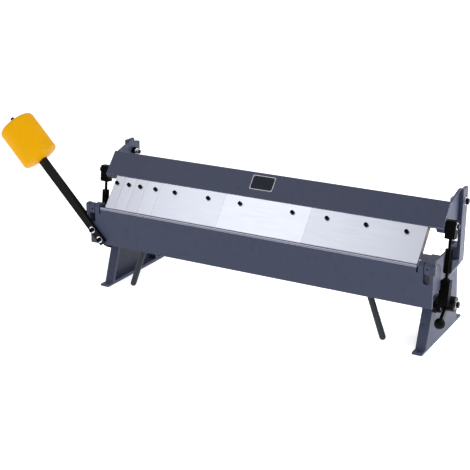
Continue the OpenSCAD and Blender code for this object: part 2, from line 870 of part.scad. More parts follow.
module beam_bushes() {
    color(black) both() difference() {
        bar(bush_in, end_plate_in, pivot_back, pivot_h, bush_r);
        bar(bush_in - cut, end_plate_in + cut, pivot_back, pivot_h, pivot_r + pin_fit);
    }
}

module name_plate() {
    half = name_plate_w / 2;
    color(steel) slope_box([-name_plate_left - half, -beam_proud - name_plate_t, name_plate_s],
        [half - name_plate_left, -beam_proud, name_plate_s + name_plate_h]);
}

module finger(i) {
    a = finger_x(i) + finger_gap / 2;
    b = finger_x(i) + finger_w[i] - finger_gap / 2;
    color(steel) difference() {
        union() {
            slope_box([a, 0, 0], [b, finger_t, finger_len]);
            slope_box([a, finger_t, back_block_s], [b, finger_t + rail_t, back_block_s + back_block_h]);
        }
        box([a - cut, -cut, bend_h - finger_t], [b + cut, finger_t * 2, bend_h]);
        at_finger_screws() cylinder(h = finger_t + cut, r = screw_r);
    }
}

module finger_1() {
    finger(0);
}

module finger_2() {
    finger(1);
}

module finger_3() {
    finger(2);
}

module finger_4() {
    finger(3);
}

module finger_5() {
    finger(4);
}

module finger_6() {
    finger(5);
}

module finger_7() {
    finger(6);
}

module finger_screws() {
    color(black) at_finger_screws() difference() {
        union() {
            cylinder(h = screw_len, r = screw_r);
            translate([0, 0, -screw_head_h]) cylinder(h = screw_head_h, r = screw_head_r);
        }
        translate([0, 0, -screw_head_h - cut]) cylinder(h = socket_deep + cut, r = socket_r, $fn = 6);
    }
}

module link_upper_pins() {
    z = bend_h + link_up;
    color(black) both() {
        bar(boss_in, pin_out + washer_t, link_back, z, link_pin_r);
        bar(beam_half, link_in - side_play, link_back, z, link_head_r);
        bar(pin_out + washer_t, pin_out + washer_t + link_head_h, link_back, z, link_head_r);
    }
}

module link_pin_washers() {
    color(steel) both() washer_ring(pin_out, link_back, bend_h + link_up, link_washer_r, link_pin_r);
}

// Link frame: origin at the upper pin, running down to the lower pin
module on_link() {
    translate([link_x, bend_y + link_back, bend_h + link_up]) rotate([-link_lean, 0, 0]) children();
}

module link_bar(from, to, r) {
    on_link() translate([0, 0, -to]) cylinder(h = to - from, r = r);
}

module link_hex(from, to, r) {
    on_link() translate([0, 0, -to]) cylinder(h = to - from, r = r, $fn = 6);
}

module link_box(from, to, deep, w) {
    on_link() translate([-link_block_w / 2, -deep / 2, -to]) cube([w, deep, to - from]);
}

module upper_block() {
    color(black) difference() {
        link_box(-link_block_over, link_block_under, link_block_deep, link_block_w);
        bar(link_in - cut, link_in + link_block_w + cut, link_back, bend_h + link_up,
            link_pin_r + pin_fit);
        link_bar(link_block_under - rod_in, link_block_under + cut, rod_r + thread_fit);
    }
}

module upper_rod() {
    color(black) link_bar(link_block_under - rod_in, coupler_top + rod_in, rod_r);
}

module coupler() {
    color(black) difference() {
        link_hex(coupler_top, coupler_low, coupler_r);
        link_bar(coupler_top - cut, coupler_top + rod_in, rod_r + thread_fit);
        link_bar(coupler_low - rod_in, coupler_low + cut, rod_r + thread_fit);
    }
}

module lower_rod() {
    color(black) link_bar(coupler_low - rod_in, lower_top + rod_in, rod_r);
}

module jam_nut() {
    color(steel) difference() {
        link_hex(lower_top - jam_t, lower_top, jam_r);
        link_bar(lower_top - jam_t - cut, lower_top + cut, rod_r + thread_fit);
    }
}

module lower_block() {
    color(black) difference() {
        union() {
            link_box(lower_top, link_len - tongue_len, lower_block_deep, link_block_w);
            link_box(lower_top, link_len, lower_block_deep, tongue_t);
            on_link() translate([-link_block_w / 2, 0, -link_len]) rotate([0, 90, 0])
                cylinder(h = tongue_t, r = lower_block_deep / 2);
        }
        on_link() translate([-link_block_w / 2 - cut, 0, -link_len]) rotate([0, 90, 0])
            cylinder(h = tongue_t + 2 * cut, r = link_pin_r + link_play);
        link_bar(lower_top - cut, lower_top + rod_in, rod_r + thread_fit);
    }
}

module left_upper_block() {
    mirrored() upper_block();
}

module left_upper_rod() {
    mirrored() upper_rod();
}

module left_coupler() {
    mirrored() coupler();
}

module left_lower_rod() {
    mirrored() lower_rod();
}

module left_jam_nut() {
    mirrored() jam_nut();
}

module left_lower_block() {
    mirrored() lower_block();
}

module right_upper_block() {
    upper_block();
}

module right_upper_rod() {
    upper_rod();
}

module right_coupler() {
    coupler();
}

module right_lower_rod() {
    lower_rod();
}

module right_jam_nut() {
    jam_nut();
}

module right_lower_block() {
    lower_block();
}

module crank_outline() {
    circle(r = hub_r);
    rotate([0, 0, crank_lean]) {
        polygon([[0, -hub_r], [0, hub_r], [-crank_len, crank_eye_r], [-crank_len, -crank_eye_r]]);
        translate([-crank_len, 0]) circle(r = crank_eye_r);
    }
}

// Arm of a lever: forward with side = 1, rearward with side = -1
module lever_arm(side) {
    len = lever_len - ball_r + ball_in;
    along_x(lever_in, lever_in + lever_t) translate([lever_back, lever_h])
        rotate([0, 0, side * lever_lean]) polygon([[0, -lever_w / 2], [0, lever_w / 2],
            [-side * len, lever_tip_w / 2], [-side * len, -lever_tip_w / 2]]);
}

module lever(side) {
    color(black) difference() {
        union() {
            bar(hub_in, hub_out, lever_back, lever_h, hub_r);
            along_x(hub_in, crank_out) translate([lever_back, lever_h]) crank_outline();
            lever_arm(side);
        }
        bar(hub_in - cut, hub_out + cut, lever_back, lever_h, pivot_r + pin_fit);
        bar(hub_in - cut, crank_out + cut, lever_back - crank_front, lever_h - crank_down, link_pin_r);
    }
}

module lower_pin() {
    color(steel)
        bar(hub_in, tongue_out, lever_back - crank_front, lever_h - crank_down, link_pin_r);
}

module ball(side) {
    color(black) difference() {
        translate([lever_in + lever_t / 2, bend_y + lever_back - side * ball_front,
            lever_h - ball_down]) sphere(r = ball_r);
        lever_arm(side);
    }
}

module left_lever() {
    mirrored() lever(-1);
}

module left_lower_pin() {
    mirrored() lower_pin();
}

module left_ball() {
    mirrored() ball(-1);
}

module right_lever() {
    lever(1);
}

module right_lower_pin() {
    lower_pin();
}

module right_ball() {
    ball(1);
}

module at_handle() {
    translate([handle_x, bend_y + handle_back, apron_low]) rotate([0, -handle_lean, 0]) children();
}

// Relief slot and hinge window of one end of the apron
module hinge_cuts() {
    window_mid = bend_h - window_deep + block_w / 2;
    window_r = (ear_out_in - ear_mid_out) / 2;
    translate([edge_bar_half, bend_h - relief_deep]) square([relief_w, relief_deep + cut]);
    translate([ear_mid_out, window_mid]) square([2 * window_r, bend_h + cut - window_mid]);
    translate([ear_mid_out + window_r, window_mid]) circle(r = window_r);
}

module apron_blank() {
    left_edge = apron_half + left_shift;
    difference() {
        polygon([[-apron_half, apron_low], [apron_half, apron_low], [apron_half, bend_h],
            [ear_in, bend_h], [ear_in, plate_top], [-ear_in - left_shift, plate_top],
            [-ear_in - left_shift, bend_h], [-left_edge, bend_h], [-left_edge, left_step_h],
            [-apron_half, left_step_h - left_shift]]);
        hinge_cuts();
        mirror([1, 0]) translate([left_shift, 0]) hinge_cuts();
    }
}

module outer_ear(r) {
    out = right_ear_out;
    intersection() {
        bar(ear_out_in, out, 0, bend_h, r);
        along_y(apron_front, r) union() {
            polygon([[ear_out_in, bend_h - r], [out, bend_h - r], [out, bend_h + r - ear_round],
                [out - ear_round, bend_h + r], [ear_out_in, bend_h + r]]);
            translate([out - ear_round, bend_h + r - ear_round]) circle(r = ear_round);
        }
    }
    along_y(apron_front, apron_back) polygon([[apron_half - cut, bend_h - relief_deep - out + apron_half],
        [out, bend_h - relief_deep], [out, bend_h], [apron_half - cut, bend_h]]);
}

module cheek(low) {
    along_x(ear_out_in, apron_half) polygon([[-apron_gap - cut, low], [cheek_deep, low],
        [cheek_deep, cheek_top - cheek_bevel], [cheek_deep - cheek_bevel, cheek_top],
        [-apron_gap - cut, cheek_top]]);
}

// Ears and cheek of one end of the apron
module apron_end(r, low) {
    bar(ear_in, ear_mid_out, 0, bend_h, ear_r);
    outer_ear(r);
    cheek(low);
}

module apron() {
    color(paint) difference() {
        union() {
            along_y(apron_front, apron_back) apron_blank();
            apron_end(ear_r, cheek_low);
            mirrored() translate([left_shift, 0, 0]) apron_end(left_ear_r, left_step_h);
            both() at_handle() cylinder(h = handle_socket_len, r = handle_socket_r);
        }
        bar(-left_ear_out - cut, right_ear_out + cut, 0, bend_h, hinge_pin_r + pin_fit);
        both() at_handle() translate([0, 0, -cut]) cylinder(h = handle_in + cut, r = handle_r);
        at_arm_bolts() cylinder(h = apron_t + cut, r = arm_bolt_r);
    }
}

module apron_edge_bar() {
    color(steel) box([-edge_bar_half - left_shift, apron_front, plate_top],
        [edge_bar_half, apron_back, edge_top]);
}

module handle() {
    color(black) at_handle() {
        translate([0, 0, handle_r - handle_len]) {
            cylinder(h = handle_len - handle_r + handle_in, r = handle_r);
            sphere(r = handle_r);
        }
    }
}

module left_handle() {
    mirrored() handle();
}

module right_handle() {
    handle();
}

// Arm frame: origin between the two arm bolts on the arm's middle plane, z up along the arm
module on_arm() {
    translate([-arm_bolt_x, bend_y + arm_mid_y, arm_bolt_h]) rotate([0, arm_angle - 90, 0]) children();
}

// At each arm bolt, z pointing rearward from the apron's front face
module at_arm_bolts() {
    for (s = [-arm_bolt_gap / 2, arm_bolt_gap / 2])
        on_arm() translate([0, arm_tab_t - arm_t / 2, s]) rotate([-90, 0, 0]) children();
}

module counterweight_arm() {
    stud_top = weight_s + weight_len + stud_nut_h + stud_out;
    color(black) difference() {
        union() {
            on_arm() translate([-arm_w / 2, -arm_t / 2, -arm_tail])
                cube([arm_w, arm_t, arm_tail + weight_s + arm_in]);
            on_arm() translate([0, 0, weight_s + arm_in - stud_r])
                cylinder(h = stud_top - weight_s - arm_in + stud_r, r = stud_r);
        }
        box([-left_ear_out - hook_gap, apron_front, 0], [0, arm_t, pivot_h]);
        at_arm_bolts() translate([0, 0, -arm_tab_t - cut])
            cylinder(h = arm_tab_t + 2 * cut, r = arm_bolt_r);
    }
}

module counterweight() {
    color(amber) difference() {
        on_arm() translate([0, 0, weight_s]) rotate_extrude() union() {
            polygon([[0, 0], [weight_neck_r, 0], [weight_r, weight_cone],
                [weight_r, weight_len - weight_round],
                [weight_r - weight_round, weight_len], [0, weight_len]]);
            translate([weight_r - weight_round, weight_len - weight_round]) circle(r = weight_round);
        }
        on_arm() translate([-arm_w / 2, -arm_t / 2, weight_s - cut]) cube([arm_w, arm_t, arm_in + cut]);
        on_arm() translate([0, 0, weight_s]) cylinder(h = weight_len + cut, r = stud_r);
    }
}

module weight_nut() {
    color(black) difference() {
        on_arm() translate([0, 0, weight_s + weight_len]) cylinder(h = stud_nut_h, r = hex_r, $fn = 6);
        on_arm() translate([0, 0, weight_s + weight_len - cut])
            cylinder(h = stud_nut_h + 2 * cut, r = stud_r);
    }
}

module arm_bolts() {
    color(black) at_arm_bolts() difference() {
        union() {
            translate([0, 0, -arm_under]) cylinder(h = arm_under + apron_t, r = arm_bolt_r);
            translate([0, 0, -arm_under - arm_head_h]) cylinder(h = arm_head_h, r = arm_head_r);
        }
        translate([0, 0, -arm_under - arm_head_h - cut])
            cylinder(h = socket_deep + cut, r = socket_r, $fn = 6);
    }
}

module arm_washers() {
    color(steel) at_arm_bolts() translate([0, 0, -arm_under]) difference() {
        cylinder(h = washer_t, r = arm_washer_r);
        translate([0, 0, -cut]) cylinder(h = washer_t + 2 * cut, r = arm_bolt_r);
    }
}

left_frame();
right_frame();
bed();
bed_bar();
bed_bolts();
left_hinge_block();
right_hinge_block();
hinge_pins();
hinge_set_screws();
beam_pivot_bolts();
beam_pivot_washers();
beam_pivot_nuts();
post_lock_screws();
lever_pivot_bolts();
lever_pivot_washers();
lever_pivot_nuts();
beam_plate();
left_beam_end();
right_beam_end();
beam_stiffener();
clamp_rail();
beam_bushes();
name_plate();
finger_1();
finger_2();
finger_3();
finger_4();
finger_5();
finger_6();
finger_7();
finger_screws();
link_upper_pins();
link_pin_washers();
left_upper_block();
left_upper_rod();
left_coupler();
left_lower_rod();
left_jam_nut();
left_lower_block();
right_upper_block();
right_upper_rod();
right_coupler();
right_lower_rod();
right_jam_nut();
right_lower_block();
left_lever();
left_lower_pin();
left_ball();
right_lever();
right_lower_pin();
right_ball();
apron();
apron_edge_bar();
left_handle();
right_handle();
counterweight_arm();
counterweight();
weight_nut();
arm_bolts();
arm_washers();
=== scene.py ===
import bpy
import bmesh
import json
import math
from mathutils import Matrix, Vector

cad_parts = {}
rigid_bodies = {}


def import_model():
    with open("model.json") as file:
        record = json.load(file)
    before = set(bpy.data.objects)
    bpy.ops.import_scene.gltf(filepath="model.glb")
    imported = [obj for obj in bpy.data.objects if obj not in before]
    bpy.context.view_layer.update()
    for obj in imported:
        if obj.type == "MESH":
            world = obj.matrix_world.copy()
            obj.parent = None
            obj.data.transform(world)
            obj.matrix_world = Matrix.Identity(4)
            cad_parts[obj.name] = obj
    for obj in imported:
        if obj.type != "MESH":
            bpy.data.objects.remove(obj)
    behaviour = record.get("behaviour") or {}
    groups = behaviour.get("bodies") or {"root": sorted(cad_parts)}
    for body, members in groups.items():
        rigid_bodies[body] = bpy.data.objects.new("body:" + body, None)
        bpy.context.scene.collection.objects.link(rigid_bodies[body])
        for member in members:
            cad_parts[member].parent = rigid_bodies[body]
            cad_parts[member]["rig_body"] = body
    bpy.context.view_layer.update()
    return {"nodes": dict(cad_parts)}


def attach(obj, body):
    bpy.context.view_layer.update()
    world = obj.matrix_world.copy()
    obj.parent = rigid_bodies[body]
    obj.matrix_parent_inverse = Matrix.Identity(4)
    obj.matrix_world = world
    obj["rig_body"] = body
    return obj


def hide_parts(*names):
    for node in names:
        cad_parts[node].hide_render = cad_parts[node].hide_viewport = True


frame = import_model()
nodes = frame["nodes"]

# The studio: a white light table under an even white surround. A large soft light at the right
# makes the right-hand faces pale, one above lifts the sloping faces, and a small one brightens
# the table behind. The camera stands in front, to the right and a little above.
CAMERA_PLACE = (1.7874, -3.4558, 1.5860)
CAMERA_TURN = 29.50
CAMERA_DROP = 18.91
CAMERA_LENS = 87.38
SURROUND = (0.97, 0.98, 1.0)
SURROUND_STRENGTH = 0.72
TABLE_GLOW = 0.55

scene = bpy.context.scene
scene.view_settings.view_transform = "Standard"
camera_data = bpy.data.cameras.new("studio_camera")
camera_data.sensor_width = 36
camera_data.lens = CAMERA_LENS
camera_data.clip_end = 60
camera = bpy.data.objects.new("studio_camera", camera_data)
camera.location = CAMERA_PLACE
camera.rotation_euler = (math.radians(90 - CAMERA_DROP), 0, math.radians(CAMERA_TURN))
scene.collection.objects.link(camera)
scene.camera = camera


def soft_light(name, place, size, power, aim=(0, 0, 0.25)):
    lamp = bpy.data.lights.new(name, "AREA")
    lamp.size = size
    lamp.energy = power
    holder = bpy.data.objects.new(name, lamp)
    holder.location = place
    holder.rotation_euler = (Vector(aim) - Vector(place)).to_track_quat("-Z", "Y").to_euler()
    scene.collection.objects.link(holder)


soft_light("side_light", (3.3, 0.5, 1.7), 2.2, 40)
soft_light("top_light", (-1.7, -2.1, 3.6), 1.9, 30)
soft_light("table_light", (1.15, 0.95, 1.1), 0.9, 26, (1.15, 0.95, 0))
surround = bpy.data.worlds.new("surround")
surround.use_nodes = True
surround.node_tree.nodes["Background"].inputs["Color"].default_value = (*SURROUND, 1)
surround.node_tree.nodes["Background"].inputs["Strength"].default_value = SURROUND_STRENGTH
scene.world = surround


class Wire:
    """A shader socket that stands in a sum; the sum adds its Math nodes."""

    def __init__(self, finish, socket):
        self.finish, self.socket = finish, socket

    def worked(self, operation, first, second):
        return self.finish.add("ShaderNodeMath", {"operation": operation}, {0: first, 1: second})

    def __add__(self, other):
        return self.worked("ADD", self, other)

    def __sub__(self, other):
        return self.worked("SUBTRACT", self, other)

    def __mul__(self, other):
        return self.worked("MULTIPLY", self, other)

    def __rsub__(self, other):
        return self.worked("SUBTRACT", other, self)

    __radd__ = __add__
    __rmul__ = __mul__


class Finish:
    """One surface finish: a Principled material and the patterns that vary it."""

    def __init__(self, name, **whole):
        self.material = bpy.data.materials.new(name)
        self.material.use_nodes = True
        self.nodes = self.material.node_tree.nodes
        self.shader = self.nodes["Principled BSDF"]
        for socket, value in whole.items():
            self.shader.inputs[socket.replace("_", " ")].default_value = value
        self.place = self.add("ShaderNodeTexCoord", out="Object")

    def add(self, kind, settings=None, sockets=None, out=0):
        node = self.nodes.new(kind)
        for key, value in (settings or {}).items():
            setattr(node, key, value)
        for key, value in (sockets or {}).items():
            self.join(value, node.inputs[key])
        return Wire(self, node.outputs[out])

    def join(self, value, socket):
        if isinstance(value, Wire):
            self.material.node_tree.links.new(value.socket, socket)
        elif isinstance(value, (tuple, list)) and socket.type == "RGBA":
            socket.default_value = (*value[:3], 1)
        else:
            socket.default_value = value

    def clouds(self, scale, detail=3, stretch=(1, 1, 1)):
        spot = self.add("ShaderNodeMapping", {}, {"Vector": self.place, "Scale": stretch})
        return self.add("ShaderNodeTexNoise", {},
                        {"Vector": spot, "Scale": scale, "Detail": detail}, out="Fac")

    def band(self, value, low, high, start=0, end=1):
        return self.add("ShaderNodeMapRange", {"clamp": True},
                        {"Value": value, "From Min": low, "From Max": high,
                         "To Min": start, "To Max": end})

    def blend(self, share, first, second):
        return self.add("ShaderNodeMix", {"data_type": "RGBA"}, {0: share, 6: first, 7: second},
                        out=2)

    def worn_edge(self):
        return self.add("ShaderNodeAttribute", {"attribute_name": "edge"}, out="Fac")

    def ends(self, colour=None, rough=None, relief=None, height=0.0001):
        """Joins the patterns to the shader; height is that of the relief pattern, in metres."""
        if colour is not None:
            self.join(colour, self.shader.inputs["Base Color"])
        if rough is not None:
            self.join(rough, self.shader.inputs["Roughness"])
        if relief is not None:
            bump = self.add("ShaderNodeBump", {}, {"Height": relief, "Distance": height})
            self.join(bump, self.shader.inputs["Normal"])
        return self.material


table = Finish("white_light_table", Emission_Color=(1, 1, 1, 1), Emission_Strength=TABLE_GLOW)
table_cloud = table.clouds(0.7)
table.ends(colour=table.blend(table_cloud, (0.93, 0.93, 0.93), (0.97, 0.97, 0.97)),
           rough=0.85 + 0.1 * table_cloud)
floor_mesh = bpy.data.meshes.new("studio_floor")
floor_mesh.from_pydata([(-40, -40, 0), (40, -40, 0), (40, 40, 0), (-40, 40, 0)], [],
                       [(0, 1, 2, 3)])
floor_mesh.materials.append(table.material)
floor = bpy.data.objects.new("studio_floor", floor_mesh)
scene.collection.objects.link(floor)

# The side frames: two iron castings with feet, flanges and an outboard post for the beam.
# Their edges are fettled round. The blue-grey machine paint over them keeps a little of the
# sand's grain and has rubbed pale in specks along the edges. Their inner walls carry painted
# shade, darker towards the top.
CASTING_EDGE = 0.0016
PAINT = (0.032, 0.040, 0.078)
PAINT_RUBBED = (0.34, 0.36, 0.42)
# PAINT_IN_SHADE is the colour of painted shade on the side frames' inner walls, which INNER_WALL
# places in x.
PAINT_IN_SHADE = (0.003, 0.0035, 0.006)
SAND_GRAIN = 0.00022
INNER_WALL = (0.6200, 0.6210, 0.6365, 0.6375)


def dressed(node, width, finish, segments=2, flat=30):
    """A copy of a CAD node with its sharp edges rounded; the rounded strips carry edge = 1."""
    mesh = nodes[node].data.copy()
    mesh.name = node + "_dressed"
    mesh.materials.clear()
    shape = bmesh.new()
    shape.from_mesh(mesh)
    bmesh.ops.remove_doubles(shape, verts=shape.verts, dist=0.00002)
    bmesh.ops.dissolve_limit(shape, angle_limit=math.radians(1.0), verts=shape.verts,
                             edges=shape.edges)
    for face in shape.faces:
        face.smooth = True
    shape.to_mesh(mesh)
    shape.free()
    piece = bpy.data.objects.new(mesh.name, mesh)
    scene.collection.objects.link(piece)
    mesh.materials.append(finish)
    mesh.materials.append(finish)
    rounding = piece.modifiers.new("rounding", "BEVEL")
    rounding.width = width
    rounding.segments = segments
    rounding.limit_method = "ANGLE"
    rounding.angle_limit = math.radians(flat)
    rounding.material = 1
    rounding.use_clamp_overlap = True
    shading = piece.modifiers.new("shading", "WEIGHTED_NORMAL")
    shading.keep_sharp = True
    ready = bpy.data.meshes.new_from_object(
        piece.evaluated_get(bpy.context.evaluated_depsgraph_get()))
    piece.modifiers.clear()
    piece.data = ready
    mark = ready.attributes.new("edge", "FLOAT", "CORNER")
    values = [0.0] * len(ready.loops)
    for face in ready.polygons:
        if face.material_index == 1:
            for corner in face.loop_indices:
                values[corner] = 1.0
        face.material_index = 0
    mark.data.foreach_set("value", values)
    ready.materials.pop(index=1)
    return stands_for(piece, node)


def stands_for(piece, node):
    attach(piece, nodes[node]["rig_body"])
    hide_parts(node)
    return piece


def machine_paint(name, grain_scale, grain_height, stain, shaded_wall=None):
    """The shop's blue-grey paint: over a casting it is grainier and more stained than on plate.
    The last argument says where, outwards in x, a side frame's inner wall starts and stops: its
    colour is darkened there as painted shade, more towards the top."""
    paint = Finish(name, Specular_IOR_Level=0.34)
    cloud = paint.clouds(4)
    grain = paint.clouds(grain_scale, 3)
    peel = paint.clouds(620, 2)
    chips = paint.band(paint.clouds(190, 4), 0.5, 0.64)
    marks = paint.band(paint.clouds(38, 5), 0.56, 0.74) * stain
    coat = paint.blend(cloud, tuple(c * 0.86 for c in PAINT), tuple(c * 1.14 for c in PAINT))
    coat = paint.blend(marks, coat, tuple(c * 0.42 for c in PAINT))
    # Painted shade: a side frame's inner wall, facing along x, is darkened towards
    # PAINT_IN_SHADE, more towards the top.
    if shaded_wall:
        facing = paint.add("ShaderNodeNewGeometry", {}, out="Normal")
        sideways = paint.add("ShaderNodeSeparateXYZ", {}, {0: facing}, out="X")
        sideways = paint.add("ShaderNodeMath", {"operation": "ABSOLUTE"}, {0: sideways})
        spot_x = paint.add("ShaderNodeSeparateXYZ", {}, {0: paint.place}, out="X")
        spot_x = paint.add("ShaderNodeMath", {"operation": "ABSOLUTE"}, {0: spot_x})
        height = paint.add("ShaderNodeSeparateXYZ", {}, {0: paint.place}, out="Z")
        wall_shade = paint.band(sideways, 0.8, 0.95) * paint.band(spot_x, shaded_wall[0], shaded_wall[1])
        wall_shade = wall_shade * paint.band(spot_x, shaded_wall[3], shaded_wall[2])
        coat = paint.blend(wall_shade * paint.band(height + 0.05 * cloud, 0.06, 0.22, 0.5, 0.93),
                           coat, PAINT_IN_SHADE)
    return paint.ends(colour=paint.blend(paint.worn_edge() * (0.16 + 0.7 * chips), coat,
                                         PAINT_RUBBED),
                      rough=0.40 + 0.14 * cloud + 0.1 * grain,
                      relief=0.75 * grain + 0.25 * peel, height=grain_height)


frame_paint = machine_paint("machine_paint_on_frames", 260, SAND_GRAIN, 0.7, INNER_WALL)
cast_paint = machine_paint("machine_paint_on_casting", 260, SAND_GRAIN, 0.7)
plate_paint = machine_paint("machine_paint_on_plate", 420, 0.00009, 0.3)
for node in ("left_frame", "right_frame"):
    dressed(node, CASTING_EDGE, frame_paint)

# The bed: one long iron casting between the side frames, in the same paint, held by four
# hexagon bolts through the leaning front flanges. They are black, and sit deep inside.
SCREW_EDGE = 0.0005
BOLT_HEAD = (0.0088, 0.008)
BOLT_SHANK = 0.006
BLACK_OXIDE = (0.0016, 0.0015, 0.0019)
BLACK_RUBBED = (0.075, 0.072, 0.072)


def screw(head_r, head_h, shank_r, length, socket_r=0.0, socket_deep=0.004, pitch=0.0015):
    """Rings of a screw from its head to its tip: radius, depth and whether the ring is a hexagon.
    Without a socket the head is a hexagon, too."""
    hexagon = socket_r == 0
    rings = [(0, socket_deep, False), (socket_r, socket_deep, True), (socket_r, SCREW_EDGE, True),
             (socket_r + SCREW_EDGE, 0, True)] if socket_r else [(0, 0, False)]
    rings += [(head_r * 0.84, 0, False), (head_r, 2 * SCREW_EDGE, hexagon)]
    if head_h:
        rings += [(head_r, head_h - SCREW_EDGE, hexagon),
                  (head_r - SCREW_EDGE, head_h, hexagon), (shank_r, head_h, False)]
    start = max(head_h, 2 * SCREW_EDGE) + pitch / 2
    turns = max(1, int(min(length - start, 0.03) / pitch))
    for turn in range(turns):
        low = length - (turns - turn) * pitch
        rings += [(shank_r, low, False), (shank_r * 0.9, low + pitch / 2, False)]
    return rings + [(shank_r * 0.86, length, False), (0, length, False)]


def lathe(name, rings, around=36, crease=34):
    """A mesh swept around its own z axis; a hexagon ring has its corners at the radius given."""
    shape = bmesh.new()
    rows = []
    for radius, height, hexagon in rings:
        if radius == 0:
            rows.append([shape.verts.new((0, 0, height))] * around)
            continue
        row = []
        for step in range(around):
            turn = 2 * math.pi * step / around
            flat = math.cos(math.pi / 6) / math.cos(turn % (math.pi / 3) - math.pi / 6)
            reach = radius * (flat if hexagon else 1)
            row.append(shape.verts.new((reach * math.cos(turn), reach * math.sin(turn), height)))
        rows.append(row)
    for upper, lower in zip(rows, rows[1:]):
        for step in range(around):
            after = (step + 1) % around
            corners = [upper[step], upper[after], lower[after], lower[step]]
            face = shape.faces.new(list(dict.fromkeys(corners)))
            face.smooth = True
    bmesh.ops.recalc_face_normals(shape, faces=shape.faces)
    mesh = bpy.data.meshes.new(name)
    shape.to_mesh(mesh)
    shape.free()
    mesh.set_sharp_from_angle(angle=math.radians(crease))
    return mesh


def islands(node):
    """The separate solids of a CAD node, each as a list of its points."""
    shape = bmesh.new()
    shape.from_mesh(nodes[node].data)
    bmesh.ops.remove_doubles(shape, verts=shape.verts, dist=0.00002)
    left, found = set(shape.verts), []
    while left:
        start = left.pop()
        group, edge_of = [start], [start]
        while edge_of:
            for edge in edge_of.pop().link_edges:
                for vert in edge.verts:
                    if vert in left:
                        left.remove(vert)
                        group.append(vert)
                        edge_of.append(vert)
        found.append([vert.co.copy() for vert in group])
    shape.free()
    return found


def span(points, along):
    """The middle line of some points along a direction: its start point and its length."""
    along = Vector(along).normalized()
    across = along.orthogonal().normalized()
    third = along.cross(across)
    middle = Vector()
    for way in (across, third):
        reach = [p.dot(way) for p in points]
        middle += way * (min(reach) + max(reach)) / 2
    reach = [p.dot(along) for p in points]
    return middle + along * min(reach), max(reach) - min(reach)


# One group places every kind of screw: it puts a copy of Part on each point, its z axis along
# the point's aim, turned about that axis by a chance angle, as screws stop where they bite.
placing = bpy.data.node_groups.new("screws_at_places", "GeometryNodeTree")
for title, kind in (("Places", "Geometry"), ("Part", "Object"), ("Finish", "Material"),
                    ("Most Turn", "Float"), ("Seed", "Int")):
    placing.interface.new_socket(title, in_out="INPUT", socket_type="NodeSocket" + kind)
placing.interface.new_socket("Screws", in_out="OUTPUT", socket_type="NodeSocketGeometry")
given = placing.nodes.new("NodeGroupInput")
part_info = placing.nodes.new("GeometryNodeObjectInfo")
aim_value = placing.nodes.new("GeometryNodeInputNamedAttribute")
aim_value.data_type = "FLOAT_VECTOR"
aim_value.inputs["Name"].default_value = "aim"
aimed = placing.nodes.new("FunctionNodeAlignRotationToVector")
aimed.axis = "Z"
chance = placing.nodes.new("FunctionNodeRandomValue")
chance.data_type = "FLOAT"
about_axis = placing.nodes.new("ShaderNodeCombineXYZ")
as_turn = placing.nodes.new("FunctionNodeEulerToRotation")
turned_about = placing.nodes.new("FunctionNodeRotateRotation")
turned_about.rotation_space = "LOCAL"
copies = placing.nodes.new("GeometryNodeInstanceOnPoints")
real = placing.nodes.new("GeometryNodeRealizeInstances")
coated = placing.nodes.new("GeometryNodeSetMaterial")
result = placing.nodes.new("NodeGroupOutput")
for out_socket, in_socket in (
        (given.outputs["Part"], part_info.inputs["Object"]),
        (given.outputs["Places"], copies.inputs["Points"]),
        (part_info.outputs["Geometry"], copies.inputs["Instance"]),
        (aim_value.outputs["Attribute"], aimed.inputs["Vector"]),
        (given.outputs["Most Turn"], chance.inputs[3]),
        (given.outputs["Seed"], chance.inputs["Seed"]),
        (chance.outputs[1], about_axis.inputs["Z"]),
        (about_axis.outputs["Vector"], as_turn.inputs["Euler"]),
        (aimed.outputs["Rotation"], turned_about.inputs["Rotation"]),
        (as_turn.outputs["Rotation"], turned_about.inputs["Rotate By"]),
        (turned_about.outputs["Rotation"], copies.inputs["Rotation"]),
        (copies.outputs["Instances"], real.inputs["Geometry"]),
        (real.outputs["Geometry"], coated.inputs["Geometry"]),
        (given.outputs["Finish"], coated.inputs["Material"]),
        (coated.outputs["Geometry"], result.inputs["Screws"])):
    placing.links.new(out_socket, in_socket)
socket_names = {item.name: item.identifier for item in placing.interface.items_tree}


def screwed(node, shape_of, aim, finish, most_turn=1.0, seed=7):
    """Detailed screws in place of a CAD node's plain ones. shape_of gives the rings for a length;
    aim is the way from head to tip on the right, and is mirrored on the left where x is not 0."""
    places, aims, length = [], [], 0
    for points in islands(node):
        left_side = sum(p.x for p in points) < 0
        way = Vector((-aim[0] if left_side else aim[0], aim[1], aim[2])).normalized()
        start, length = span(points, way)
        places.append(start)
        aims.extend(way)
    part = bpy.data.objects.new(node + "_part", lathe(node + "_part", shape_of(length)))
    scene.collection.objects.link(part)
    spots = bpy.data.meshes.new(node + "_detailed")
    spots.from_pydata(places, [], [])
    spots.attributes.new("aim", "FLOAT_VECTOR", "POINT").data.foreach_set("vector", aims)
    piece = bpy.data.objects.new(node + "_detailed", spots)
    scene.collection.objects.link(piece)
    maker = piece.modifiers.new("placing", "NODES")
    maker.node_group = placing
    maker[socket_names["Part"]] = part
    maker[socket_names["Finish"]] = finish
    maker[socket_names["Most Turn"]] = most_turn
    maker[socket_names["Seed"]] = seed
    ready = bpy.data.meshes.new_from_object(
        piece.evaluated_get(bpy.context.evaluated_depsgraph_get()))
    piece.modifiers.clear()
    piece.data = ready
    bpy.data.objects.remove(part)
    return stands_for(piece, node)


def dark_finish(name, base, rubbed, rough, fleck=90, height=0.00004, specular=0.05):
    dark = Finish(name, Specular_IOR_Level=specular)
    cloud = dark.clouds(fleck, 4)
    wear = dark.worn_edge() * dark.band(dark.clouds(fleck * 3, 3), 0.42, 0.66)
    return dark.ends(colour=dark.blend(0.03 * cloud + 0.5 * wear, base, rubbed),
                     rough=rough + 0.2 * cloud, relief=cloud, height=height)


